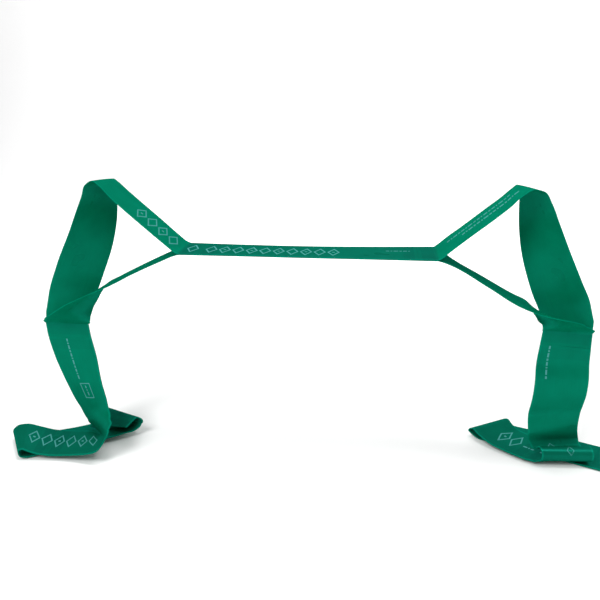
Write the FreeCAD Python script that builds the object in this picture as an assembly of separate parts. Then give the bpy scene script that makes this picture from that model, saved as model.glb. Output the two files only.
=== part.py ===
"""Resistance band of consecutive loops: two rubber plies joined at even intervals by glued bonds.

The band is held open by two hands. One loop hangs round each hand, the loop between the hands is
stretched flat, and the rest of the band hangs as two tails whose ends lie folded on a table.
The band is laid out over the table's plane, and is then moved so that the origin is the middle of
the left hand's loop.
"""
import FreeCAD, Part
import math
import os

V = FreeCAD.Vector

# Driving dimensions, in mm
SLACK_WIDTH = 50.8
HELD_WIDTH = 46.5
PLY = 0.45
PLY_GAP = 0.30
GLUE = 0.20
PITCH = 182.5
BOND = 30.0
STRIPE = 10.5
STRIPE_INSET = 1.5
EDGE_INSET = 1.2
BUTT_GAP = 0.1
HINGE_GAP = 0.9
HALF_SPAN = 123.0
HELD_HEIGHT = 212.0
WIDENS_OVER = 40.0
GRIP_WIDTH = 36.0
GRIP_AT = 158.0
GRIP_REACH = 32.0
STRETCH = 2 * HALF_SPAN / (PITCH + BOND)
ORIGIN = V(-195.0, 0.0, 214.0)

HELD_BOND = BOND * STRETCH
TAIL_LENGTH = 2 * PITCH + BOND
STRIPE_STARTS = (STRIPE_INSET, BOND - STRIPE_INSET - STRIPE)
PLIES_PART_AFTER = 3.0

# How finely a strip is cut into sections
LONGEST_STEP = 8.0
SHORTEST_STEP = 1.0
SAMPLE_STEP = 0.7
WIDEST_TURN = math.radians(13)


def ruling(turn, lift):
    """Unit vector across the strip, from its edge A to its edge B: turn is about +Z from +X."""
    a, e = math.radians(turn), math.radians(lift)
    return V(math.cos(a) * math.cos(e), math.sin(a) * math.cos(e), math.sin(e))


def mirrored(stations):
    """The same stations on the other side of the band's middle."""
    return [(-x, y, z, 180 - turn, lift) for x, y, z, turn, lift in stations]


# Stations: x, y, z of the strip's middle line, and the turn and lift of its ruling
CENTRE = [
    (-HALF_SPAN, 0, HELD_HEIGHT, 90, 3),
    (-60, 0, HELD_HEIGHT - 0.5, 90, 2),
    (0, 0, HELD_HEIGHT - 0.8, 90, 2),
    (60, 0, HELD_HEIGHT - 0.5, 90, 3),
    (HALF_SPAN, 0, HELD_HEIGHT, 90, 5),
]
LEFT_OVER_HAND = [
    (-HALF_SPAN + 26, 0, HELD_HEIGHT - 0.2, 90, 3),
    (-HALF_SPAN + 12, 0, HELD_HEIGHT, 90, 3),
    (-HALF_SPAN, 0, HELD_HEIGHT + 0.3, 90, 3),
    (-128, 0, 214.6, 90, 3),
    (-134, 0, 219.6, 90, 3),
    (-150, 0, 233.5, 90, 4),
    (-172, 0, 252.5, 90, 4),
    (-188, 0, 267, 90, 3),
    (-197, 1, 275.5, 89, 0),
    (-203, 2, 279, 86, -2),
    (-207.5, 4, 274.5, 78, -3),
    (-209.5, 6, 264, 68, -4),
    (-214, 7, 246, 54, -7),
    (-221, 7, 224, 41, -10),
    (-237, 6, 186, 20, -10),
    (-249, 6, 157, 7, -5),
    (-253, 2.8, 141, 1, -1),
]
LEFT_UNDER_HAND = [
    (-HALF_SPAN + 26, 0, HELD_HEIGHT - 0.2, 90, 3),
    (-HALF_SPAN + 12, 0, HELD_HEIGHT, 90, 3),
    (-HALF_SPAN, 0, HELD_HEIGHT - 0.3, 90, 3),
    (-130, 0, 209.6, 90, 3),
    (-138, 0, 206, 90, 3),
    (-170, 0, 191, 90, 3),
    (-200, -1, 176, 90, 3),
    (-216, -3, 168.5, 87, 1),
    (-226.5, -8, 160, 76, -4),
    (-235, -12.5, 151.5, 58, -9),
    (-242, -13.5, 143.5, 36, -9),
    (-248.5, -9, 136.8, 14, -6),
    (-252, -4, 132.6, 3, -2),
]
LEFT_TAIL = [
    (-253.5, -0.5, 130, 0, 0),
    (-252.7, 0, 117, -3, 1),
    (-248, 0, 92, -10, 5),
    (-242, 0, 65, -20, 10),
    (-235, -1, 44, -27, 13),
    (-229.5, -4, 33, -35, 16),
    (-224, -11, 26.5, -45, 20),
    (-216.5, -21.5, 22, -54, 22),
    (-212, -30.5, 16.5, -61, 20),
    (-216.5, -32, 12.2, -64, 11),
    (-224, -31, 9.6, -69, 5),
    (-235, -29.5, 7.8, -75, 1),
    (-249, -28.5, 6.2, -80, -1),
    (-264, -28.5, 5.6, -83, -2),
    (-276, -29.5, 7.0, -82, -2),
    (-287, -31, 10.4, -76, -3),
    (-297, -32.5, 13.4, -68, -4),
    (-304.5, -34, 11.4, -60, -4),
    (-306.5, -34.5, 7.2, -56, -3),
    (-304, -33.5, 3.0, -59, -1),
    (-298, -31, 1.0, -62, 0),
    (-286, -24.5, 1.3, -61, 1),
    (-268, -15.5, 1.5, -60, 1),
    (-246, -2.5, 2.3, -58, 3),
    (-230, 8, 3.4, -53, 4),
    (-219, 16, 4.4, -46, 4),
    (-211, 22.4, 5.6, -38, 3),
    (-207, 26, 11.2, -33, 2),
    (-211, 26.2, 17.0, -30, 3),
    (-216, 18, 15.0, -24, 6),
    (-221, 7.5, 10.2, -17, 9),
    (-224.5, -2, 8.6, -14, 9),
]
RIGHT_OVER_HAND = mirrored([
    (-HALF_SPAN + 26, 0, HELD_HEIGHT - 0.2, 90, 5),
    (-HALF_SPAN + 12, 0, HELD_HEIGHT, 90, 5),
    (-HALF_SPAN, 0, HELD_HEIGHT + 0.3, 90, 6),
    (-127, 0, 215, 90, 6),
    (-133, 0, 220.4, 90, 6),
    (-150, 0, 234.5, 90, 5),
    (-172, 0, 252.5, 90, 5),
    (-184, 0, 262.5, 90, 4),
    (-193, 1, 271, 89, 2),
    (-201, 2, 276, 84, 0),
    (-208, 4, 273, 76, -2),
    (-212, 6, 262, 66, -4),
    (-217, 7, 243, 54, -7),
    (-224, 7, 220, 40, -9),
    (-239, 6, 182, 20, -9),
    (-247.8, 6, 163, 9, -5),
    (-252.5, 3, 148, 1, -1),
])
RIGHT_UNDER_HAND = mirrored([
    (-HALF_SPAN + 26, 0, HELD_HEIGHT - 0.2, 90, 5),
    (-HALF_SPAN + 12, 0, HELD_HEIGHT, 90, 5),
    (-HALF_SPAN, 0, HELD_HEIGHT - 0.3, 90, 5),
    (-130, 0, 209.2, 90, 4),
    (-138, 0, 204.6, 90, 1),
    (-170, 0, 186.2, 90, 1),
    (-202, -1, 168, 90, 2),
    (-217, -3, 162, 87, 1),
    (-227.5, -8, 157.5, 76, -4),
    (-235.5, -12.5, 153.5, 58, -9),
    (-243, -13.5, 149, 36, -9),
    (-248.5, -9, 144, 14, -6),
    (-252, -4, 140.3, 3, -2),
])
RIGHT_TAIL = [
    (252.5, -0.5, 138, 180, 3),
    (252, 0, 122, 180, 4),
    (251.5, 0.5, 106, 180, 2),
    (251.5, -2.5, 86, 180, 0),
    (251.5, -1, 72, 180, -2),
    (251.2, 2.8, 60, 181, -4),
    (250.6, 5.8, 50, 182, -4),
    (250.2, 5, 38, 186, -2),
    (251.5, 6.2, 27, 191, 1),
    (254, 9.2, 17.5, 193, 2),
    (256.5, 6, 11.8, 191, 1),
    (258.5, -0.5, 14.2, 188, 0),
    (261, -7.5, 18.6, 185, 0),
    (262, -13.6, 14.8, 184, 1),
    (262, -14, 8.4, 185, 2),
    (260, -8.5, 4.4, 190, 1),
    (254.5, -1.5, 3.2, 202, 0),
    (249, 5, 3.0, 214, 0),
    (237, 14, 3.0, 223, 0),
    (222, 27, 3.4, 227, 0),
    (211, 37, 4.6, 224, 0),
    (203.5, 46.5, 7.8, 218, 0),
    (198.5, 56, 10.2, 213, 0),
    (195.5, 61, 6.0, 216, 0),
    (199.5, 59.2, 1.1, 226, 0),
    (212, 52, 0.7, 236, 0),
    (232, 42, 0.7, 242, 0),
    (266, 24.6, 0.7, 243, 0),
    (308, 3, 0.7, 243, 0),
]


class Strip:
    """A strip along stations, measured from the first one along its middle line."""

    def __init__(self, stations, width):
        self.width = width
        points = [V(*s[:3]) for s in stations]
        turns = [V(s[3], s[4], 0) for s in stations]
        self.samples = []
        gaps = [(b - a).Length for a, b in zip(points, points[1:])]
        slopes = [self.slopes(points, gaps), self.slopes(turns, gaps)]
        for i, gap in enumerate(gaps):
            steps = max(6, int(gap / SAMPLE_STEP))
            for k in range(steps):
                t = k / steps
                p = self.between(points, slopes[0], gap, i, t)
                w = self.between(turns, slopes[1], gap, i, t)
                self.samples.append((p, ruling(w.x, w.y)))
        self.samples.append((points[-1], ruling(turns[-1].x, turns[-1].y)))
        self.places = [0.0]
        for (a, _), (b, _) in zip(self.samples, self.samples[1:]):
            self.places.append(self.places[-1] + (b - a).Length)
        self.length = self.places[-1]
        self.grid = self.lay_grid()
        self.frames = [self.section(s) for s in self.grid]

    @staticmethod
    def slopes(values, gaps):
        """Slope at each station, from its two neighbouring spans."""
        rates = [(b - a) * (1 / g) for a, b, g in zip(values, values[1:], gaps)]
        found = [rates[0]]
        for i in range(1, len(rates)):
            total = gaps[i - 1] + gaps[i]
            found.append(rates[i - 1] * (gaps[i] / total) + rates[i] * (gaps[i - 1] / total))
        return found + [rates[-1]]

    @staticmethod
    def between(values, slopes, gap, i, t):
        """Cubic between stations i and i + 1, at t from 0 to 1."""
        a, b = values[i], values[i + 1]
        return (
            a * (2 * t**3 - 3 * t**2 + 1)
            + slopes[i] * (gap * (t**3 - 2 * t**2 + t))
            + b * (3 * t**2 - 2 * t**3)
            + slopes[i + 1] * (gap * (t**3 - t**2))
        )

    def at(self, s):
        """Middle point, direction and ruling at the length s."""
        low, high = 0, len(self.places) - 1
        while high - low > 1:
            mid = (low + high) // 2
            if self.places[mid] <= s:
                low = mid
            else:
                high = mid
        span = self.places[high] - self.places[low]
        t = (s - self.places[low]) / span
        (pa, wa), (pb, wb) = self.samples[low], self.samples[high]
        before = self.samples[max(low - 1, 0)][0]
        after = self.samples[min(high + 1, len(self.samples) - 1)][0]
        along = (after - before).normalize()
        across = (wa * (1 - t) + wb * t).normalize()
        return pa * (1 - t) + pb * t, along, across

    def length_at_x(self, x):
        """Length at which the strip's middle line is nearest to x."""
        nearest = min(range(len(self.places)), key=lambda i: abs(self.samples[i][0].x - x))
        return self.places[nearest]

    def width_at(self, s):
        return self.width(s) if callable(self.width) else self.width

    def section(self, s):
        """The two edge points of the strip and its normal at the length s."""
        p, along, across = self.at(s)
        normal = along.cross(across)
        half = self.width_at(s) / 2 / normal.Length
        return p - across * half, p + across * half, normal.normalize()

    def lay_grid(self):
        """Lengths along the strip, closer together where it bends."""
        found, s = [0.0], 0.0
        while s < self.length:
            step = LONGEST_STEP
            while step > SHORTEST_STEP and self.bend(s, min(s + step, self.length)) > WIDEST_TURN:
                step *= 0.8
            s = min(s + step, self.length)
            found.append(s)
        if len(found) > 2 and found[-1] - found[-2] < SHORTEST_STEP / 2:
            del found[-2]
        return found

    def edges(self, s, trim=0.0):
        """As section, but on the straight line between the two grid sections next to s."""
        i = max(k for k in range(len(self.grid) - 1) if self.grid[k] <= s + 1e-9)
        t = (s - self.grid[i]) / (self.grid[i + 1] - self.grid[i])
        a, b, n = (u * (1 - t) + v * t for u, v in zip(self.frames[i], self.frames[i + 1]))
        inset = (b - a).normalize() * trim
        return a + inset, b - inset, n

    def sections(self, s0, s1):
        """The grid's lengths between s0 and s1, and the two ends."""
        return [s0] + [s for s in self.grid if s0 + 0.05 < s < s1 - 0.05] + [s1]

    def bend(self, s0, s1):
        """Largest turn of the direction or of the ruling between two lengths."""
        _, t0, w0 = self.at(s0)
        _, t1, w1 = self.at(s1)
        return max(t0.getAngle(t1), w0.getAngle(w1))

    def sheet(self, s0, s1, low, high, trim=0.0):
        """Solid between the heights low and high over the strip's middle surface."""
        return Part.makeLoft(self.rings(s0, s1, low, high, trim), True, True)

    def rings(self, s0, s1, low, high, trim=0.0, flip=1):
        """Cross-sections from s0 to s1, in that order; flip -1 turns the normal over."""
        lengths = self.sections(min(s0, s1), max(s0, s1))
        if s0 > s1:
            lengths.reverse()
        found = []
        for s in lengths:
            a, b, n = self.edges(s, trim)
            n = n * flip
            corners = [a + n * low, b + n * low, b + n * high, a + n * high]
            found.append(Part.makePolygon(corners + corners[:1]))
        return found


def tail_width(s):
    """The rubber is slack on the tails and gets its full width back a little below the hand."""
    return HELD_WIDTH + (SLACK_WIDTH - HELD_WIDTH) * min(1.0, s / WIDENS_OVER)


def gripped_width(s):
    """The ply under the hand is bunched together where the fingers close on it."""
    t = max(0.0, 1.0 - abs(s - GRIP_AT) / GRIP_REACH)
    return HELD_WIDTH - (HELD_WIDTH - GRIP_WIDTH) * t * t * (3 - 2 * t)


def heights(side):
    """Lowest and highest point of a ply on one side of the middle surface."""
    near, far = PLY_GAP / 2, PLY_GAP / 2 + PLY
    return (near, far) if side > 0 else (-far, -near)


LAYERS = {"top_ply": 1, "under_ply": -1}
HANDS = {
    "left": (-1, LEFT_OVER_HAND, LEFT_UNDER_HAND, LEFT_TAIL),
    "right": (1, RIGHT_OVER_HAND, RIGHT_UNDER_HAND, RIGHT_TAIL),
}


def centre_ply(centre, side):
    """One ply of the loop between the hands, from one inner bond's middle to the other's."""
    s0 = HELD_BOND / 2 + BUTT_GAP / 2
    s1 = centre.length - HELD_BOND / 2 - HINGE_GAP / 2
    return centre.sheet(s0, s1, *heights(side))


def hand_ply(centre, strand, tail, side, low, high):
    """One ply of a hand's loop: half the inner bond, round the hand, and half the outer bond."""
    gap = BUTT_GAP if side < 0 else HINGE_GAP
    bond_middle = HELD_BOND / 2 - gap / 2
    crease = strand.length_at_x(side * HALF_SPAN)
    if side < 0:
        rings = centre.rings(bond_middle, 0, low, high, flip=-1)
    else:
        rings = centre.rings(centre.length - bond_middle, centre.length, low, high)
    rings += strand.rings(crease + PLIES_PART_AFTER, strand.length, -PLY / 2, PLY / 2)
    rings += tail.rings(0, BOND / 2 - HINGE_GAP / 2, low, high)
    print("free length", round(strand.length - crease, 1), "slack", PITCH - BOND)
    return Part.makeLoft(rings, True, True)


def upper_tail_ply(tail, low, high):
    """One ply of a tail's upper loop, between the middles of its two bonds."""
    return tail.sheet(BOND / 2 + HINGE_GAP / 2, BOND / 2 + PITCH - HINGE_GAP / 2, low, high)


def end_ply(tail, low, high):
    """One ply of a tail's last loop, up to the cut end."""
    return tail.sheet(BOND / 2 + PITCH + HINGE_GAP / 2, TAIL_LENGTH, low, high)


def inner_glue(centre, side):
    """The two glue stripes of the bond beside a hand, lettered outwards from the band's middle."""
    found = {}
    for letter, offset in zip("ba", STRIPE_STARTS):
        s0, s1 = offset * STRETCH, (offset + STRIPE) * STRETCH
        if side > 0:
            s0, s1 = centre.length - s1, centre.length - s0
        found[letter] = centre.sheet(s0, s1, -GLUE / 2, GLUE / 2, EDGE_INSET)
    return found


def tail_glue(tail, start):
    """The two glue stripes of a tail's bond that begins at start."""
    places = [start + offset for offset in STRIPE_STARTS]
    sheets = [tail.sheet(s, s + STRIPE, -GLUE / 2, GLUE / 2, EDGE_INSET) for s in places]
    return dict(zip("ab", sheets))


def hinge_line(tail, s):
    """Middle and direction of the hinge across the tail at the length s, in metres."""
    p, _, across = tail.at(s)
    return [round(v / 1000, 5) for v in p - ORIGIN], [round(v, 4) for v in across]


def hand_parts(centre, hand):
    """Every node on one hand's side of the band."""
    side, over_hand, under_hand, tail_stations = HANDS[hand]
    tail = Strip(tail_stations, tail_width)
    strands = {"top_ply": Strip(over_hand, HELD_WIDTH), "under_ply": Strip(under_hand, gripped_width)}
    found = {}
    for layer, up in LAYERS.items():
        low, high = heights(up * side)
        found["loop_" + layer] = hand_ply(centre, strands[layer], tail, side, low, high)
        found["tail_" + layer] = upper_tail_ply(tail, low, high)
        found["end_" + layer] = end_ply(tail, low, high)
    for letter, glue in inner_glue(centre, side).items():
        found["inner_bond_glue_" + letter] = glue
    for k, bond in enumerate(("outer", "mid", "end")):
        for letter, glue in tail_glue(tail, k * PITCH).items():
            found["%s_bond_glue_%s" % (bond, letter)] = glue
    print(hand, "tail runs", round(tail.length, 1), "of", TAIL_LENGTH)
    print(hand, "hinges", hinge_line(tail, BOND / 2), hinge_line(tail, BOND / 2 + PITCH))
    return {hand + "_" + name: shape for name, shape in found.items()}


def band_parts():
    centre = Strip(CENTRE, HELD_WIDTH)
    found = {"centre_" + layer: centre_ply(centre, up) for layer, up in LAYERS.items()}
    for hand in HANDS:
        found.update(hand_parts(centre, hand))
    return found


os.makedirs("parts", exist_ok=True)
for node, shape in band_parts().items():
    shape.translate(ORIGIN * -1)
    shape.exportStep("parts/%s.step" % node)
    print(node, round(shape.Volume, 1), shape.isValid())
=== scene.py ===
import math
from collections import namedtuple

import bpy
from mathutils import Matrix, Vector, noise


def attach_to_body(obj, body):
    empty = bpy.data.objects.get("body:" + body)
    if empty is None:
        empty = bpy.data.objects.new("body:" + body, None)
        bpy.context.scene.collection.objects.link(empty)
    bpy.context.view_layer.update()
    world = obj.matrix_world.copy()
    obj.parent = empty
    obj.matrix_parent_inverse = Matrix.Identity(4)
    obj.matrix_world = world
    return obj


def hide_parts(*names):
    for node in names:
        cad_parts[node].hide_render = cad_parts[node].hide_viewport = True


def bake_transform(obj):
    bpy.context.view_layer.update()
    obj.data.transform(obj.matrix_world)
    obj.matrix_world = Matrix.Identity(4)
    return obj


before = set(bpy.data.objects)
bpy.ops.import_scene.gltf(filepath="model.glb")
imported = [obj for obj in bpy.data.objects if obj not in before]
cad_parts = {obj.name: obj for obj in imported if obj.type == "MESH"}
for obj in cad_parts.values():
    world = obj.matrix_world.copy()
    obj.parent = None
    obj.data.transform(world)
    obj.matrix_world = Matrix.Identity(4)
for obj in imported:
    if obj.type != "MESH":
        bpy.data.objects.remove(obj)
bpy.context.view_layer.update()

V = Vector

# A resistance band of consecutive loops, held open by two hands that aren't modelled. Its two plies
# are joined at even intervals by glued bonds. One loop hangs round each hand, the loop between the
# hands is stretched flat, and the rest hangs as two tails whose ends lie folded on a table.

# ---- The band, in millimetres over the table's plane ----
SLACK_WIDTH = 50.8
HELD_WIDTH = 46.5
PLY = 0.45
PLY_GAP = 0.30
GLUE = 0.20
PITCH = 182.5
BOND = 30.0
STRIPE = 10.5
STRIPE_INSET = 1.5
EDGE_INSET = 1.2
JOINED = 0.03
HALF_SPAN = 123.0
HELD_HEIGHT = 212.0
WIDENS_OVER = 40.0
GRIP_WIDTH = 36.0
GRIP_AT = 158.0
GRIP_REACH = 32.0
STRETCH = 2 * HALF_SPAN / (PITCH + BOND)
ORIGIN = V((-195.0, 0.0, 214.0))
MM = 0.001

HELD_BOND = BOND * STRETCH
BENDS_FROM, BENDS_TO = 4.0, BOND - 4.0
TAIL_LENGTH = 2 * PITCH + BOND
STRIPE_STARTS = (STRIPE_INSET, BOND - STRIPE_INSET - STRIPE)
PLIES_PART_AFTER = 3.0

# How finely a strip is cut into rings, and a ring into points
LONGEST_STEP = 3.0
SHORTEST_STEP = 0.6
SAMPLE_STEP = 0.7
END_MARGIN = 0.05
CLOSEST = 0.04
WIDEST_TURN = math.radians(7)
ACROSS = 14
SHARP = math.radians(50)


def ruling(turn, lift):
    """Unit vector across the strip, from its edge A to its edge B: turn is about +Z from +X."""
    a, e = math.radians(turn), math.radians(lift)
    return V((math.cos(a) * math.cos(e), math.sin(a) * math.cos(e), math.sin(e)))


def mirrored(stations):
    """The same stations on the other side of the band's middle."""
    return [(-x, y, z, 180 - turn, lift) for x, y, z, turn, lift in stations]


# Stations: x, y, z of the strip's middle line, and the turn and lift of its ruling
CENTRE = [
    (-HALF_SPAN, 0, HELD_HEIGHT, 90, 3),
    (-60, 0, HELD_HEIGHT - 0.5, 90, 2),
    (0, 0, HELD_HEIGHT - 0.8, 90, 2),
    (60, 0, HELD_HEIGHT - 0.5, 90, 3),
    (HALF_SPAN, 0, HELD_HEIGHT, 90, 5),
]
LEFT_OVER_HAND = [
    (-HALF_SPAN + 26, 0, HELD_HEIGHT - 0.2, 90, 3),
    (-HALF_SPAN + 12, 0, HELD_HEIGHT, 90, 3),
    (-HALF_SPAN, 0, HELD_HEIGHT + 0.3, 90, 3),
    (-128, 0, 214.6, 90, 3),
    (-134, 0, 219.6, 90, 3),
    (-150, 0, 233.5, 90, 4),
    (-172, 0, 252.5, 90, 4),
    (-188, 0, 267, 90, 3),
    (-197, 1, 275.5, 89, 0),
    (-203, 2, 279, 86, -2),
    (-207.5, 4, 274.5, 78, -3),
    (-209.5, 6, 264, 68, -4),
    (-214, 7, 246, 54, -7),
    (-221, 7, 224, 41, -10),
    (-237, 6, 186, 20, -10),
    (-249, 6, 157, 7, -5),
    (-253, 2.8, 141, 1, -1),
]
LEFT_UNDER_HAND = [
    (-HALF_SPAN + 26, 0, HELD_HEIGHT - 0.2, 90, 3),
    (-HALF_SPAN + 12, 0, HELD_HEIGHT, 90, 3),
    (-HALF_SPAN, 0, HELD_HEIGHT - 0.3, 90, 3),
    (-130, 0, 209.6, 90, 3),
    (-138, 0, 206, 90, 3),
    (-170, 0, 191, 90, 3),
    (-200, -1, 176, 90, 3),
    (-216, -3, 168.5, 87, 1),
    (-226.5, -8, 160, 76, -4),
    (-235, -12.5, 151.5, 58, -9),
    (-242, -13.5, 143.5, 36, -9),
    (-248.5, -9, 136.8, 14, -6),
    (-252, -4, 132.6, 3, -2),
]
LEFT_TAIL = [
    (-253.5, -0.5, 130, 0, 0),
    (-252.7, 0, 117, -3, 1),
    (-248, 0, 92, -10, 5),
    (-242, 0, 65, -20, 10),
    (-235, -1, 44, -27, 13),
    (-229.5, -4, 33, -35, 16),
    (-224, -11, 26.5, -45, 20),
    (-216.5, -21.5, 22, -54, 22),
    (-212, -30.5, 16.5, -61, 20),
    (-216.5, -32, 12.2, -64, 11),
    (-224, -31, 9.6, -69, 5),
    (-235, -29.5, 7.8, -75, 1),
    (-249, -28.5, 6.2, -80, -1),
    (-264, -28.5, 5.6, -83, -2),
    (-276, -29.5, 7.0, -82, -2),
    (-287, -31, 10.4, -76, -3),
    (-297, -32.5, 13.4, -68, -4),
    (-304.5, -34, 11.4, -60, -4),
    (-306.5, -34.5, 7.2, -56, -3),
    (-304, -33.5, 3.0, -59, -1),
    (-298, -31, 1.0, -62, 0),
    (-286, -24.5, 1.3, -61, 1),
    (-268, -15.5, 1.5, -60, 1),
    (-246, -2.5, 2.3, -58, 3),
    (-230, 8, 3.4, -53, 4),
    (-219, 16, 4.4, -46, 4),
    (-211, 22.4, 5.6, -38, 3),
    (-207, 26, 11.2, -33, 2),
    (-211, 26.2, 17.0, -30, 3),
    (-216, 18, 15.0, -24, 6),
    (-221, 7.5, 10.2, -17, 9),
    (-224.5, -2, 8.6, -14, 9),
]
RIGHT_OVER_HAND = mirrored([
    (-HALF_SPAN + 26, 0, HELD_HEIGHT - 0.2, 90, 5),
    (-HALF_SPAN + 12, 0, HELD_HEIGHT, 90, 5),
    (-HALF_SPAN, 0, HELD_HEIGHT + 0.3, 90, 6),
    (-127, 0, 215, 90, 6),
    (-133, 0, 220.4, 90, 6),
    (-150, 0, 234.5, 90, 5),
    (-172, 0, 252.5, 90, 5),
    (-184, 0, 262.5, 90, 4),
    (-193, 1, 271, 89, 2),
    (-201, 2, 276, 84, 0),
    (-208, 4, 273, 76, -2),
    (-212, 6, 262, 66, -4),
    (-217, 7, 243, 54, -7),
    (-224, 7, 220, 40, -9),
    (-239, 6, 182, 20, -9),
    (-247.8, 6, 163, 9, -5),
    (-252.5, 3, 148, 1, -1),
])
RIGHT_UNDER_HAND = mirrored([
    (-HALF_SPAN + 26, 0, HELD_HEIGHT - 0.2, 90, 5),
    (-HALF_SPAN + 12, 0, HELD_HEIGHT, 90, 5),
    (-HALF_SPAN, 0, HELD_HEIGHT - 0.3, 90, 5),
    (-130, 0, 209.2, 90, 4),
    (-138, 0, 204.6, 90, 1),
    (-170, 0, 186.2, 90, 1),
    (-202, -1, 168, 90, 2),
    (-217, -3, 162, 87, 1),
    (-227.5, -8, 157.5, 76, -4),
    (-235.5, -12.5, 153.5, 58, -9),
    (-243, -13.5, 149, 36, -9),
    (-248.5, -9, 144, 14, -6),
    (-252, -4, 140.3, 3, -2),
])
RIGHT_TAIL = [
    (252.5, -0.5, 138, 180, 3),
    (252, 0, 122, 180, 4),
    (251.5, 0.5, 106, 180, 2),
    (251.5, -2.5, 86, 180, 0),
    (251.5, -1, 72, 180, -2),
    (251.2, 2.8, 60, 181, -4),
    (250.6, 5.8, 50, 182, -4),
    (250.2, 5, 38, 186, -2),
    (251.5, 6.2, 27, 191, 1),
    (254, 9.2, 17.5, 193, 2),
    (256.5, 6, 11.8, 191, 1),
    (258.5, -0.5, 14.2, 188, 0),
    (261, -7.5, 18.6, 185, 0),
    (262, -13.6, 14.8, 184, 1),
    (262, -14, 8.4, 185, 2),
    (260, -8.5, 4.4, 190, 1),
    (254.5, -1.5, 3.2, 202, 0),
    (249, 5, 3.0, 214, 0),
    (237, 14, 3.0, 223, 0),
    (222, 27, 3.4, 227, 0),
    (211, 37, 4.6, 224, 0),
    (203.5, 46.5, 7.8, 218, 0),
    (198.5, 56, 10.2, 213, 0),
    (195.5, 61, 6.0, 216, 0),
    (199.5, 59.2, 1.1, 226, 0),
    (212, 52, 0.7, 236, 0),
    (232, 42, 0.7, 242, 0),
    (266, 24.6, 0.7, 243, 0),
    (308, 3, 0.7, 243, 0),
]


class Strip:
    """A strip along stations, measured from the first one along its middle line."""

    def __init__(self, stations, width):
        self.width = width
        points = [V(s[:3]) for s in stations]
        turns = [V((s[3], s[4], 0)) for s in stations]
        self.samples = []
        gaps = [(b - a).length for a, b in zip(points, points[1:])]
        slopes = [self.slopes(points, gaps), self.slopes(turns, gaps)]
        for i, gap in enumerate(gaps):
            steps = max(6, int(gap / SAMPLE_STEP))
            for k in range(steps):
                t = k / steps
                p = self.between(points, slopes[0], gap, i, t)
                w = self.between(turns, slopes[1], gap, i, t)
                self.samples.append((p, ruling(w.x, w.y)))
        self.samples.append((points[-1], ruling(turns[-1].x, turns[-1].y)))
        self.places = [0.0]
        for (a, _), (b, _) in zip(self.samples, self.samples[1:]):
            self.places.append(self.places[-1] + (b - a).length)
        self.length = self.places[-1]
        self.grid = self.lay_grid()

    @staticmethod
    def slopes(values, gaps):
        """Slope at each station, from its two neighbouring spans."""
        rates = [(b - a) * (1 / g) for a, b, g in zip(values, values[1:], gaps)]
        found = [rates[0]]
        for i in range(1, len(rates)):
            total = gaps[i - 1] + gaps[i]
            found.append(rates[i - 1] * (gaps[i] / total) + rates[i] * (gaps[i - 1] / total))
        return found + [rates[-1]]

    @staticmethod
    def between(values, slopes, gap, i, t):
        """Cubic between stations i and i + 1, at t from 0 to 1."""
        a, b = values[i], values[i + 1]
        return (
            a * (2 * t**3 - 3 * t**2 + 1)
            + slopes[i] * (gap * (t**3 - 2 * t**2 + t))
            + b * (3 * t**2 - 2 * t**3)
            + slopes[i + 1] * (gap * (t**3 - t**2))
        )

    def at(self, s):
        """Middle point, direction and ruling at the length s."""
        low, high = 0, len(self.places) - 1
        while high - low > 1:
            mid = (low + high) // 2
            if self.places[mid] <= s:
                low = mid
            else:
                high = mid
        t = (s - self.places[low]) / (self.places[high] - self.places[low])
        (pa, wa), (pb, wb) = self.samples[low], self.samples[high]
        before = self.samples[max(low - 1, 0)][0]
        after = self.samples[min(high + 1, len(self.samples) - 1)][0]
        along = (after - before).normalized()
        across = (wa * (1 - t) + wb * t).normalized()
        return pa * (1 - t) + pb * t, along, across

    def length_at_x(self, x):
        """Length at which the strip's middle line is nearest to x."""
        distances = [abs(p.x - x) for p, _ in self.samples]
        return self.places[distances.index(min(distances))]

    def width_at(self, s):
        return self.width(s) if callable(self.width) else self.width

    def edges(self, s):
        """The two edge points and the normal at the length s."""
        p, along, across = self.at(s)
        normal = along.cross(across)
        half = self.width_at(s) / 2 / normal.length
        return p - across * half, p + across * half, normal.normalized()

    def lay_grid(self):
        """Lengths along the strip, closer together where it bends."""
        found, s = [0.0], 0.0
        while s < self.length:
            step = LONGEST_STEP
            while step > SHORTEST_STEP and self.bend(s, min(s + step, self.length)) > WIDEST_TURN:
                step *= 0.8
            s = min(s + step, self.length)
            found.append(s)
        return found

    def bend(self, s0, s1):
        """Largest turn of the direction or of the ruling between two lengths."""
        _, t0, w0 = self.at(s0)
        _, t1, w1 = self.at(s1)
        return max(t0.angle(t1), w0.angle(w1))

    def lengths(self, s0, s1, extra=()):
        """The grid's lengths between s0 and s1 with their ends and any extra ones, in that order."""
        low, high = min(s0, s1), max(s0, s1)
        places = list(self.grid) + list(extra)
        inside = [s for s in places if low + END_MARGIN < s < high - END_MARGIN]
        found = [low]
        for s in sorted(inside) + [high]:
            if s - found[-1] > CLOSEST:
                found.append(s)
        return found if s0 <= s1 else found[::-1]


def tail_width(s):
    """The rubber is slack on the tails and gets its full width back a little below the hand."""
    return HELD_WIDTH + (SLACK_WIDTH - HELD_WIDTH) * min(1.0, s / WIDENS_OVER)


def gripped_width(s):
    """The ply under the hand is bunched together where the fingers close on it."""
    t = max(0.0, 1.0 - abs(s - GRIP_AT) / GRIP_REACH)
    return HELD_WIDTH - (HELD_WIDTH - GRIP_WIDTH) * t * t * (3 - 2 * t)


def heights(side):
    """Lowest and highest point of a ply on one side of the middle surface."""
    near, far = PLY_GAP / 2, PLY_GAP / 2 + PLY
    return (near, far) if side > 0 else (-far, -near)


def to_frame(p):
    """A point over the table in millimetres, as metres in the part's frame."""
    return (p - ORIGIN) * MM


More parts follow.
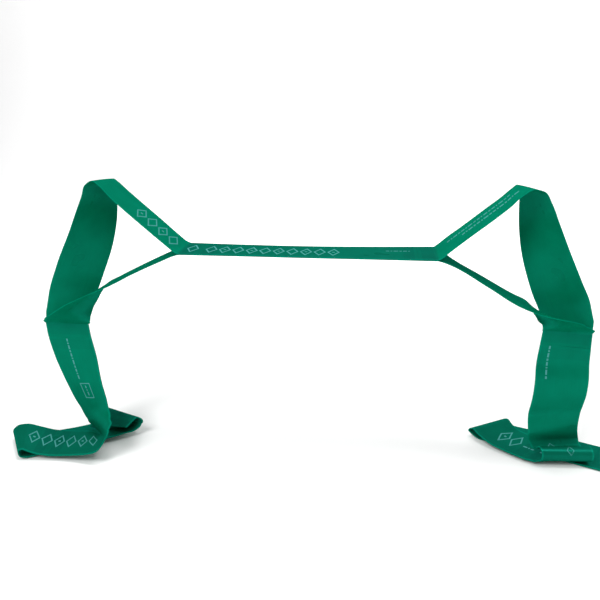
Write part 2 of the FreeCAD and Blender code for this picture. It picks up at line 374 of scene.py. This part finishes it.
# ---- Surfaces: a piece is a list of rings along a strip ----
WAVE_ACROSS = 0.7
WAVE_ALONG = 0.016
WAVE_SLICE = 3.1
WAVE_SHARE = 0.6
TEXTURE_LENGTH = 50


class Ring:
    """One section of a piece: its edges, its normal, its heights, how it curls, and its bond value,
    which sets painted shade and glue greying in its colour.
    """

    def __init__(self, strip, s, low, high, flip=1, mark=None, curl=0.0, seed=0.0):
        self.a, self.b, n = strip.edges(s)
        self.n = n * flip
        self.low, self.high = low, high
        self.s = s if mark is None else mark
        self.curl, self.seed = curl, seed
        # bond: painted shade plus glue greying, set later; it also lowers the light let through
        self.bond = 0.0

    def point(self, u, height):
        """Point at u from -1 at edge A to 1 at edge B, at a height over the middle surface."""
        p = self.a.lerp(self.b, (u + 1) / 2)
        place = V((u * WAVE_ACROSS + self.seed, self.s * WAVE_ALONG, WAVE_SLICE))
        wave = noise.noise(place) * abs(self.curl) * WAVE_SHARE
        return p + self.n * (height + self.curl * (1 - u * u) - self.curl * 0.5 + wave)


def texture_place(u, s):
    """Across from -0.5 to 0.5, and along in units of TEXTURE_LENGTH."""
    return (u * 0.5, s / TEXTURE_LENGTH)


def band_mesh(name, rings, material, inset=0.0):
    """Closed thin sheet through the rings."""
    verts, glue_and_shade_values, uvs = [], [], []
    for r in rings:
        width = (r.b - r.a).length
        limit = 1 - 2 * inset / width
        for h in (r.low, r.high):
            for k in range(ACROSS + 1):
                u = (-1 + 2 * k / ACROSS) * limit
                verts.append(tuple(to_frame(r.point(u, h))))
                glue_and_shade_values.append(r.bond)
                uvs.append(texture_place(u, r.s))
    return add_mesh(name, verts, sheet_faces(len(rings)), glue_and_shade_values, uvs, material)


def sheet_faces(count):
    """Faces of a closed sheet: each ring is a lower row of points and then an upper one."""
    row = ACROSS + 1
    faces = []
    for i in range(count - 1):
        p, q = i * 2 * row, (i + 1) * 2 * row
        for k in range(ACROSS):
            faces.append((p + k, q + k, q + k + 1, p + k + 1))
            faces.append((p + row + k, p + row + k + 1, q + row + k + 1, q + row + k))
        faces.append((p, p + row, q + row, q))
        faces.append((p + ACROSS, q + ACROSS, q + row + ACROSS, p + row + ACROSS))
    last = (count - 1) * 2 * row
    for k in range(ACROSS):
        faces.append((k, k + 1, row + k + 1, row + k))
        faces.append((last + k, last + row + k, last + row + k + 1, last + k + 1))
    return faces


def add_mesh(name, verts, faces, glue_and_shade_values, uvs, material):
    mesh = bpy.data.meshes.new(name)
    mesh.from_pydata(verts, [], faces)
    mesh.update()
    # The bond attribute carries painted shade and glue greying to the material
    attribute = mesh.attributes.new("bond", "FLOAT", "POINT")
    attribute.data.foreach_set("value", glue_and_shade_values)
    layer = mesh.uv_layers.new(name="strip")
    for loop in mesh.loops:
        layer.data[loop.index].uv = uvs[loop.vertex_index]
    mesh.shade_smooth()
    mesh.set_sharp_from_angle(angle=SHARP)
    return add_object(name, mesh, material)


def add_object(name, mesh, material):
    obj = bpy.data.objects.new(name, mesh)
    bpy.context.scene.collection.objects.link(obj)
    mesh.materials.append(material)
    return obj


# ---- Generic print: quads in (length, u), pressed onto an outer face ----
PRINT_HEIGHT = 0.035
HALF_WIDTH = 24.0
FINEST_ALONG = 1.2
FINEST_ACROSS = 2.0
LOZENGE_STEP = 13.4
LOZENGE_LENGTH = LOZENGE_STEP * 0.9
LOZENGE_LINE = 1.25
LOZENGE_SLANT = 2.4
SQUARE_HALF = 1.2
DASHES = (3.2, 1.6, 4.4, 2.2, 3.6, 1.4, 5.0, 2.6)
DASH_SPACE = 1.3


def bar(s0, s1, u0, u1):
    return [(s0, u0), (s1, u0), (s1, u1), (s0, u1)]


def box_outline(s0, s1, u0, u1, thick):
    """Outline of a box as four bars."""
    du = thick / HALF_WIDTH
    return [
        bar(s0, s0 + thick, u0, u1),
        bar(s1 - thick, s1, u0, u1),
        bar(s0 + thick, s1 - thick, u0, u0 + du),
        bar(s0 + thick, s1 - thick, u1 - du, u1),
    ]


def lozenge(s0, s1, u0, u1, thick):
    """Outline of a lozenge as four slanted bars."""
    sm, um = (s0 + s1) / 2, (u0 + u1) / 2
    shrink = 1 - LOZENGE_SLANT * thick / (s1 - s0)
    outer = [(s0, um), (sm, u0), (s1, um), (sm, u1)]
    inner = [(sm + (s - sm) * shrink, um + (u - um) * shrink) for s, u in outer]
    return [[outer[k], outer[k - 3], inner[k - 3], inner[k]] for k in range(4)]


def large_row(s0, s1, u0, u1):
    """Large print: a chain of lozenges, every second one with a small square in it."""
    found, s, count = [], s0, 0
    while s + LOZENGE_LENGTH <= s1:
        found += lozenge(s, s + LOZENGE_LENGTH, u0, u1, LOZENGE_LINE)
        if count % 2:
            sm, um = s + LOZENGE_LENGTH / 2, (u0 + u1) / 2
            du = SQUARE_HALF / HALF_WIDTH
            found.append(bar(sm - SQUARE_HALF, sm + SQUARE_HALF, um - du, um + du))
        s += LOZENGE_STEP
        count += 1
    return found


def small_row(s0, s1, u, high=0.035):
    """Small print: a line of short dashes of uneven length."""
    found, s, count = [], s0, 0
    while s + DASHES[count % len(DASHES)] <= s1:
        end = s + DASHES[count % len(DASHES)]
        found.append(bar(s, end, u - high, u + high))
        s = end + DASH_SPACE
        count += 1
    return found


def point_over(rings, s, u, outer):
    """Point just over the outer face at the length s and at u."""
    places = [r.s for r in rings]
    i = max(0, min(len(rings) - 2, sum(1 for v in places if v <= s) - 1))
    t = (s - places[i]) / (places[i + 1] - places[i])
    pair = rings[i : i + 2]
    height = [r.high + PRINT_HEIGHT if outer > 0 else r.low - PRINT_HEIGHT for r in pair]
    p, q = (r.point(u, h) for r, h in zip(pair, height))
    return p.lerp(q, t)


def between_corners(quad, x, y):
    """Point of a quad at x along it and y across it, both from 0 to 1."""
    lower = [quad[0][q] * (1 - x) + quad[1][q] * x for q in (0, 1)]
    upper = [quad[3][q] * (1 - x) + quad[2][q] * x for q in (0, 1)]
    return (lower[q] * (1 - y) + upper[q] * y for q in (0, 1))


def print_mesh(name, rings, marks, outer, material):
    """All marks of one ply as one skin just over its outer face."""
    verts, faces, uvs = [], [], []
    for quad in marks:
        starts_at, ends_at = min(s for s, _ in quad), max(s for s, _ in quad)
        if starts_at < rings[0].s or ends_at > rings[-1].s:
            continue
        rise = abs(quad[2][1] - quad[1][1]) * HALF_WIDTH
        m = max(1, int((ends_at - starts_at) / FINEST_ALONG))
        n = max(1, int(rise / FINEST_ACROSS))
        first = len(verts)
        for i in range(m + 1):
            for j in range(n + 1):
                s, u = between_corners(quad, i / m, j / n)
                verts.append(tuple(to_frame(point_over(rings, s, u, outer))))
                uvs.append(texture_place(u, s))
        for i in range(m):
            for j in range(n):
                p = first + i * (n + 1) + j
                face = (p, p + n + 1, p + n + 2, p + 1)
                faces.append(face if outer > 0 else face[::-1])
    return add_mesh(name, verts, faces, [0.0] * len(verts), uvs, material)


# ---- Materials ----
STREAK_STRETCH = (42.0, 0.9, 1.0)
STREAK_SHARE = 0.55
TINT_FROM, TINT_TO = 0.45, 1.1
EDGE_FROM, EDGE_TO, EDGE_STRENGTH = 0.462, 0.5, 0.42
GLOSS_LESS, GLOSS_MORE = 0.05, 0.08
BUMP_STRENGTH, BUMP_DEPTH = 0.08, 0.0003
SHINE_SHARE = 0.06
SHINE_TINT = (0.02, 0.72, 0.53, 1)
# Dark tint mixed in as painted shade on the centre and the folded tails, and as greying on the glue
# stripes
SHADE_AND_GLUE_TINT = (0.002, 0.026, 0.023, 1)
# Painted glow along the cut edges, standing for light coming through the rubber's edges
PAINTED_EDGE_GLOW = (0.0, 0.30, 0.19, 1)
GLOW_TINT = (0.0, 0.46, 0.13, 1)
GLOW_ENDS_AT = 0.6
GLOW_WHERE_DOUBLED = 0.15


def node_material(name):
    material = bpy.data.materials.new(name)
    material.use_nodes = True
    material.node_tree.nodes.clear()
    return material, material.node_tree


def add_node(tree, kind, inputs, **settings):
    """Shader node with its settings; an input is given as a value or as the socket that feeds it."""
    made = tree.nodes.new("ShaderNode" + kind)
    for key, value in settings.items():
        setattr(made, key, value)
    for key, value in inputs.items():
        if isinstance(value, bpy.types.NodeSocket):
            tree.links.new(value, made.inputs[key])
        else:
            made.inputs[key].default_value = value
    return made


def map_range(tree, value, **limits):
    """Linear map, clamped; limits are from_min, from_max, to_min and to_max, else 0 and 1."""
    named = {key.replace("_", " ").title(): limit for key, limit in limits.items()}
    return add_node(tree, "MapRange", {"Value": value, **named}).outputs["Result"]


def mix_colours(tree, share, first, second):
    inputs = {0: share, 6: first, 7: second}
    return add_node(tree, "Mix", inputs, data_type="RGBA").outputs[2]


def mix_shaders(tree, share, first, second):
    return add_node(tree, "MixShader", {0: share, 1: first, 2: second}).outputs[0]


def rubber_colour(tree, uv, streaks, clouds, bond, deep, bright):
    """Streaky green, darkened by painted shade and greyer on the glued stripes, with a painted glow
    along the cut edges.
    """
    both = add_node(
        tree, "Math", {0: streaks, 1: STREAK_SHARE, 2: clouds}, operation="MULTIPLY_ADD"
    )
    share = map_range(tree, both.outputs[0], from_min=TINT_FROM, from_max=TINT_TO)
    tint = mix_colours(tree, share, deep, bright)
    glued_and_shaded = mix_colours(tree, bond, tint, SHADE_AND_GLUE_TINT)
    split = add_node(tree, "SeparateXYZ", {0: uv})
    side = add_node(tree, "Math", {0: split.outputs["X"]}, operation="ABSOLUTE")
    # Painted glow: a paler band along both cut edges
    edge_glow = map_range(
        tree, side.outputs[0], from_min=EDGE_FROM, from_max=EDGE_TO, to_max=EDGE_STRENGTH
    )
    return mix_colours(tree, edge_glow, glued_and_shaded, PAINTED_EDGE_GLOW)


def rubber_material(name, deep, bright, roughness, through):
    """Semi-gloss rubber with fine streaks along the strip; through is how much light a ply lets in."""
    material, tree = node_material(name)
    uv = add_node(tree, "UVMap", {}, uv_map="strip").outputs["UV"]
    # bond is the painted shade plus glue greying set along the band
    bond = add_node(tree, "Attribute", {}, attribute_name="bond").outputs["Fac"]
    stretched = add_node(tree, "Mapping", {"Vector": uv, "Scale": STREAK_STRETCH}).outputs[0]
    fine = {"Vector": stretched, "Scale": 1.6, "Detail": 3.0}
    streaks = add_node(tree, "TexNoise", fine).outputs["Fac"]
    coarse = {"Vector": uv, "Scale": 2.2, "Detail": 2.0}
    clouds = add_node(tree, "TexNoise", coarse).outputs["Fac"]
    gloss = map_range(tree, clouds, to_min=roughness - GLOSS_LESS, to_max=roughness + GLOSS_MORE)
    grain = {"Strength": BUMP_STRENGTH, "Distance": BUMP_DEPTH, "Height": streaks}
    surface = {"Roughness": gloss, "Normal": add_node(tree, "Bump", grain).outputs["Normal"]}

    colour = rubber_colour(tree, uv, streaks, clouds, bond, deep, bright)
    matt = {"Base Color": colour, "Specular IOR Level": 0.0, **surface}
    body = add_node(tree, "BsdfPrincipled", matt).outputs[0]
    # The shine keeps the rubber's own hue, so flat parts seen at a low angle stay deep green
    shine = add_node(tree, "BsdfGlossy", {"Color": SHINE_TINT, **surface}).outputs[0]
    look = mix_shaders(tree, SHINE_SHARE, body, shine)
    if through:
        # Light comes through a single ply, and hardly through two that lie together
        doubled = through * GLOW_WHERE_DOUBLED
        share = map_range(tree, bond, from_max=GLOW_ENDS_AT, to_min=through, to_max=doubled)
        glow = add_node(tree, "BsdfTranslucent", {"Color": GLOW_TINT}).outputs[0]
        look = mix_shaders(tree, share, look, glow)
    add_node(tree, "OutputMaterial", {"Surface": look})
    return material


rubber = rubber_material(
    "band_rubber", (0.0, 0.132, 0.068, 1), (0.0, 0.175, 0.095, 1), roughness=0.28, through=0.14
)
glue_look = rubber_material(
    "bond_glue", (0.004, 0.10, 0.07, 1), (0.006, 0.13, 0.09, 1), roughness=0.5, through=0.0
)
ink = rubber_material(
    "band_print", (0.05, 0.24, 0.23, 1), (0.07, 0.29, 0.28, 1), roughness=0.42, through=0.0
)

# ---- How much painted shade and glue greying the rubber gets along the band, and how it curls ----
CENTRE_PAINTED_SHADE = 0.55
GLUED_DULLNESS = 0.10
HANGING_DARKENING, FOLDED_PAINTED_SHADE = 0.05, 0.45
FOLDED_FROM, FOLDED_OVER = 105, 40
TAIL_BOW, TAIL_SEED = 0.9, 1.7
TAIL_BOWS_OVER, TAIL_FLAT_AT, TAIL_FLATTENS_OVER = 25.0, 95.0, 40.0
HAND_BOW, HAND_SEED = 0.5, 4.2
HAND_BOWS_OVER, HAND_FLATTENS_OVER = 30.0, 40.0
STREAKS_SKIP = 2.0
STRIPE_BLUR = 0.3
STRIPE_SLACK = 0.01

centre = Strip(CENTRE, HELD_WIDTH)


def ramp(distance, over):
    """From 0 to 1 over a distance."""
    return min(1.0, max(0.0, distance / over))


def tail_painted_shade(s):
    # Painted shade: slight darkening on the hanging part, much stronger where the tail lies folded on
    # the table
    return HANGING_DARKENING + FOLDED_PAINTED_SHADE * ramp(s - FOLDED_FROM, FOLDED_OVER)


def tail_curl(s):
    """The hanging part bows a little across its width; the folded part lies flat."""
    return TAIL_BOW * ramp(s, TAIL_BOWS_OVER) * ramp(TAIL_FLAT_AT - s, TAIL_FLATTENS_OVER)


def stripe_marks(start, scale=1.0, mirror=None):
    """Start and end of the two glued stripes of a bond that starts at start."""
    found = [(start + o * scale, start + (o + STRIPE) * scale) for o in STRIPE_STARTS]
    if mirror is not None:
        found = [(mirror - e, mirror - s) for s, e in found]
    return found


CENTRE_STRIPES = stripe_marks(0, STRETCH) + stripe_marks(0, STRETCH, centre.length)
TAIL_STRIPES = [r for k in range(3) for r in stripe_marks(k * PITCH)]


def breaks(stripes):
    """Lengths at and just outside the stripes, so that their edges show."""
    offsets = ((0, -STRIPE_BLUR), (0, 0), (1, 0), (1, STRIPE_BLUR))
    return [stripe[end] + d for stripe in stripes for end, d in offsets]


def set_glue_and_shade(rings, stripes, painted_shade):
    """How dark the rubber's colour is made: painted shade from painted_shade(s), plus greying where it
    is glued.
    """
    for r in rings:
        glued = any(s - STRIPE_SLACK <= r.s <= e + STRIPE_SLACK for s, e in stripes)
        r.bond = painted_shade(r.s) + (GLUED_DULLNESS if glued else 0.0)


def centre_rings(s0, s1, low, high, flip=1, mark=None):
    lengths = centre.lengths(s0, s1, breaks(CENTRE_STRIPES))
    rings = [Ring(centre, s, low, high, flip=flip) for s in lengths]
    # Painted shade over the whole stretched centre, where the two plies lie together
    set_glue_and_shade(rings, CENTRE_STRIPES, lambda s: CENTRE_PAINTED_SHADE)
    if mark is not None:
        for r in rings:
            r.s = mark(r.s)
    return rings


def tail_rings(tail, s0, s1, low, high):
    lengths = tail.lengths(s0, s1, breaks(TAIL_STRIPES))
    rings = [Ring(tail, s, low, high, curl=tail_curl(s), seed=TAIL_SEED) for s in lengths]
    set_glue_and_shade(rings, TAIL_STRIPES, tail_painted_shade)
    return rings


def hand_rings(strand, tail, side, low, high, bow):
    """Half the inner bond, round the hand, and half the outer bond, measured from the crease."""
    middle = HELD_BOND / 2 - JOINED
    end = centre.length
    if side < 0:
        rings = centre_rings(middle, 0, low, high, flip=-1, mark=lambda s: -s)
    else:
        rings = centre_rings(end - middle, end, low, high, mark=lambda s: s - end)
    crease = strand.length_at_x(side * HALF_SPAN)
    for s in strand.lengths(crease + PLIES_PART_AFTER, strand.length):
        mark, left_over = s - crease, strand.length - s
        curl = bow * ramp(mark, HAND_BOWS_OVER) * ramp(left_over, HAND_FLATTENS_OVER)
        rings.append(Ring(strand, s, -PLY / 2, PLY / 2, mark=mark, curl=curl, seed=HAND_SEED))
    run = strand.length - crease
    for r in tail_rings(tail, 0, BOND / 2 - JOINED, low, high):
        r.s += run + STREAKS_SKIP
        rings.append(r)
    return rings


# ---- Pieces ----
LAYERS = {"top_ply": 1, "under_ply": -1}
HANDS = {
    "left": (-1, LEFT_OVER_HAND, LEFT_UNDER_HAND, LEFT_TAIL),
    "right": (1, RIGHT_OVER_HAND, RIGHT_UNDER_HAND, RIGHT_TAIL),
}
CENTRE_FROM = HELD_BOND / 2 + JOINED
CENTRE_TO = centre.length - HELD_BOND / 2 - JOINED

# The print on each ply: lengths in millimetres along it, and u across it
PRINTED = {
    "centre_top_ply": large_row(CENTRE_FROM + 4, 165, -0.68, 0.52)
    + small_row(CENTRE_TO - 30, CENTRE_TO - 2, 0.25),
    "left_loop_top_ply": large_row(-14.5, -1, -0.65, 0.6) + large_row(8, 70, -0.65, 0.6),
    "right_loop_top_ply": small_row(14, 88, 0.3, 0.06) + small_row(30, 96, -0.15, 0.06),
    "left_tail_under_ply": small_row(17, 64, -0.14)
    + box_outline(68, 86, -0.22, 0.32, 1.1)
    + small_row(71, 84, 0.05)
    + large_row(144.6, 197.2, -0.6, 0.4),
    "right_tail_under_ply": small_row(16, 50, 0.60)
    + lozenge(126, 138, 0.0, 0.42, 0.9)
    + lozenge(146, 156, -0.28, 0.02, 0.9),
    "right_tail_top_ply": small_row(172, 194, 0.1, 0.05) + small_row(174, 194, -0.2, 0.05),
    "left_end_under_ply": large_row(198.2, 231, -0.6, 0.4),
    "right_end_top_ply": small_row(199, 214, 0.1, 0.05) + large_row(215, 246, -0.6, 0.55),
}

Sheet = namedtuple("Sheet", "ply length held rests_on prints")


def attach(obj, body, next_body=None, start=None, end=None):
    """A piece rides on a body, or is baked in place where it would pass from that body to the next
    one.
    """
    if next_body is None:
        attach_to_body(obj, body)
    else:
        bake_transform(obj)


def add_ply(node, rings, outer, motion, print_name=None):
    """One ply and the print on it; outer is the side of its outer face."""
    ply = band_mesh(node + "_rubber", rings, rubber)
    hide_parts(node)
    attach(ply, *motion)
    prints = []
    if node in PRINTED:
        name = print_name or node + "_print"
        prints.append(print_mesh(name, rings, PRINTED[node], outer, ink))
        attach(prints[0], *motion)


def add_glue(node, rings, motion):
    """One glue stripe, between the plies."""
    stripe = band_mesh(node + "_look", rings, glue_look, inset=EDGE_INSET)
    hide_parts(node)
    attach(stripe, *motion)


def add_centre():
    """The loop between the hands stretches from one inner bond's middle to the other's."""
    left = to_frame(V((-HALF_SPAN + HELD_BOND / 2, 0, HELD_HEIGHT)))
    right = to_frame(V((HALF_SPAN - HELD_BOND / 2, 0, HELD_HEIGHT)))
    motion = ("left_loop", "right_loop", left, right)
    for layer, up in LAYERS.items():
        rings = centre_rings(CENTRE_FROM, CENTRE_TO, *heights(up))
        add_ply(
            "centre_" + layer, rings, up, motion, "centre_print"
        )


def add_plies(hand, tail, motion):
    """The plies of a hand's loop, of its tail's upper loop and of the last loop."""
    side, over_hand, under_hand, _ = HANDS[hand]
    strands = {"top_ply": Strip(over_hand, HELD_WIDTH), "under_ply": Strip(under_hand, gripped_width)}
    bond_end = BOND / 2 + PITCH
    for layer, up in LAYERS.items():
        outer = up * side
        low, high = heights(outer)
        loop_ply, tail_ply, end_ply = (hand + part + layer for part in ("_loop_", "_tail_", "_end_"))
        rings = hand_rings(strands[layer], tail, side, low, high, HAND_BOW * outer)
        add_ply(loop_ply, rings, outer, motion)
        rings = tail_rings(tail, BOND / 2 + JOINED, bond_end - JOINED, low, high)
        add_ply(tail_ply, rings, outer, motion)
        end_from = bond_end + JOINED
        rings = tail_rings(tail, end_from, TAIL_LENGTH, low, high)
        rides = (hand + "_end",)
        add_ply(end_ply, rings, outer, rides)


def add_glue_stripes(hand, tail, motion):
    """The stripes of the three bonds on a tail, and of the bond beside the hand."""
    side = HANDS[hand][0]
    low, high = -GLUE / 2, GLUE / 2
    motions = {
        "outer": (motion, motion),
        "mid": ((hand + "_tail",), (hand + "_end",)),
        "end": ((hand + "_end",), (hand + "_end",)),
    }
    for k, (bond, bond_motions) in enumerate(motions.items()):
        for letter, (s0, s1), moves in zip("ab", stripe_marks(k * PITCH), bond_motions):
            node = "%s_%s_bond_glue_%s" % (hand, bond, letter)
            add_glue(node, tail_rings(tail, s0, s1, low, high), moves)
    mirror = centre.length if side > 0 else None
    for letter, (s0, s1) in zip("ba", stripe_marks(0, STRETCH, mirror)):
        node = "%s_inner_bond_glue_%s" % (hand, letter)
        add_glue(node, centre_rings(s0, s1, low, high), (hand + "_loop",))


def add_hand(hand):
    """Everything on one hand's side; the pieces that run from its loop into its tail through the outer
    bond are baked in place.
    """
    tail = Strip(HANDS[hand][3], tail_width)
    bend_from, bend_to = (to_frame(tail.at(s)[0]) for s in (BENDS_FROM, BENDS_TO))
    motion = (hand + "_loop", hand + "_tail", bend_from, bend_to)
    add_plies(hand, tail, motion)
    add_glue_stripes(hand, tail, motion)


add_centre()
for hand in HANDS:
    add_hand(hand)

# ---- Floor, backdrop, lights and camera, in metres ----
FLOOR_UNDER = 0.0012
FLOOR_FRONT, FLOOR_BACK = -3.0, 2.2
WALL_CURVE, WALL_TOP = 1.2, 4.5
BACKDROP_SIDES = (-4.5, 4.9)
MIDDLE = (0.195, 0.0, -0.08)
LIGHTS = [  # name, place, target, size, power
    ("key", (-0.7, -1.5, 1.5), MIDDLE, 1.0, 37),
    ("fill", (1.05, -0.3, 1.75), (0.44, 0.0, -0.2), 0.5, 9),
    ("top", (0.35, 0.0, 1.9), (0.35, 0.0, -0.2), 0.7, 15),
    ("back_wall", (0.2, 1.0, 1.6), (0.2, 3.2, 0.8), 2.0, 60),
]
SKY_STRENGTH = 0.44
CAMERA_PLACE = (0.252, -0.6172, 0.1204)
CAMERA_DOWN, CAMERA_TURN = 15.5, 6.0
CAMERA_LENS, CAMERA_SENSOR = 38.7, 36.0

# A plain view keeps the rubber's strong green and the white floor as they are lit
bpy.context.scene.view_settings.view_transform = "Standard"


def add_backdrop():
    """White floor that curves up into a wall."""
    profile = [(FLOOR_FRONT, 0.0), (FLOOR_BACK, 0.0)]
    for k in range(1, 11):
        a = math.radians(9 * k)
        y, z = FLOOR_BACK + WALL_CURVE * math.sin(a), WALL_CURVE - WALL_CURVE * math.cos(a)
        profile.append((y, z))
    profile.append((FLOOR_BACK + WALL_CURVE, WALL_TOP))
    floor_z = -ORIGIN.z * MM - FLOOR_UNDER
    verts = [(x, y, floor_z + z) for y, z in profile for x in BACKDROP_SIDES]
    faces = [(2 * i, 2 * i + 1, 2 * i + 3, 2 * i + 2) for i in range(len(profile) - 1)]
    mesh = bpy.data.meshes.new("backdrop")
    mesh.from_pydata(verts, [], faces)
    mesh.shade_smooth()
    material, tree = node_material("backdrop_white")
    white = {"Base Color": (0.93, 0.93, 0.93, 1), "Roughness": 0.9, "Specular IOR Level": 0.1}
    plain = add_node(tree, "BsdfPrincipled", white)
    add_node(tree, "OutputMaterial", {"Surface": plain.outputs[0]})
    add_object("backdrop", mesh, material)


def add_light(name, place, target, size, power):
    light = bpy.data.lights.new(name, "AREA")
    light.shape = "SQUARE"
    light.size = size
    light.energy = power
    obj = bpy.data.objects.new(name, light)
    bpy.context.scene.collection.objects.link(obj)
    obj.location = place
    obj.rotation_euler = (V(target) - V(place)).to_track_quat("-Z", "Y").to_euler()


def add_sky():
    world = bpy.data.worlds.new("studio")
    world.use_nodes = True
    background = world.node_tree.nodes["Background"]
    background.inputs["Color"].default_value = (1, 1, 1, 1)
    background.inputs["Strength"].default_value = SKY_STRENGTH
    bpy.context.scene.world = world


def add_camera():
    camera = bpy.data.cameras.new("camera")
    camera.lens = CAMERA_LENS
    camera.sensor_width = CAMERA_SENSOR
    view = bpy.data.objects.new("camera", camera)
    view.location = CAMERA_PLACE
    view.rotation_euler = (math.radians(90 - CAMERA_DOWN), 0, math.radians(CAMERA_TURN))
    bpy.context.scene.collection.objects.link(view)
    bpy.context.scene.camera = view


add_backdrop()
for light in LIGHTS:
    add_light(*light)
add_sky()
add_camera()
